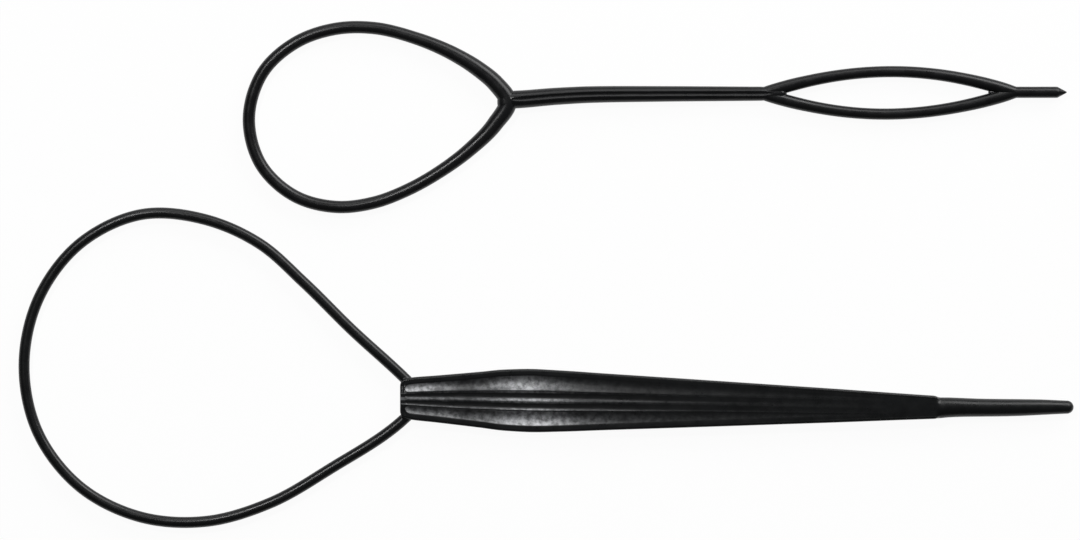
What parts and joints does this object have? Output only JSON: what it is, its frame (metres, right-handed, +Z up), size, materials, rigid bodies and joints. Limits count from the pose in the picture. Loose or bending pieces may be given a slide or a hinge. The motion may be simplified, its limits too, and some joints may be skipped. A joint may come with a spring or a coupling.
{
  "type": "hair styling loop tool",
  "caption": "Flat black plastic tools for threading and flipping ponytails: a teardrop loop on a fluted tapering handle, and a smaller loop on a slim rod with a leaf-shaped eye and a point.",
  "frame": {"origin": "middle of the bounding box of both tools, on the surface that they lie on", "axes": "+X from the loops towards the tips, +Y across the tools from the large one to the small one, +Z up from the surface"},
  "size_m": [0.23, 0.1106, 0.004],
  "materials": {
    "large_tool_plastic": "black moulded plastic, satin gloss",
    "small_tool_plastic": "black moulded plastic, satin gloss"
  },
  "bodies": {
    "large_tool": {"large_loop_tool": "large_tool_plastic"},
    "small_tool": {"small_loop_tool": "small_tool_plastic"}
  },
  "joints": [
    {"name": "small_tool_lift", "type": "slide", "parent": "large_tool", "child": "small_tool", "axis": [0, 0, 1], "range_m": [0, 0.1]}
  ]
}
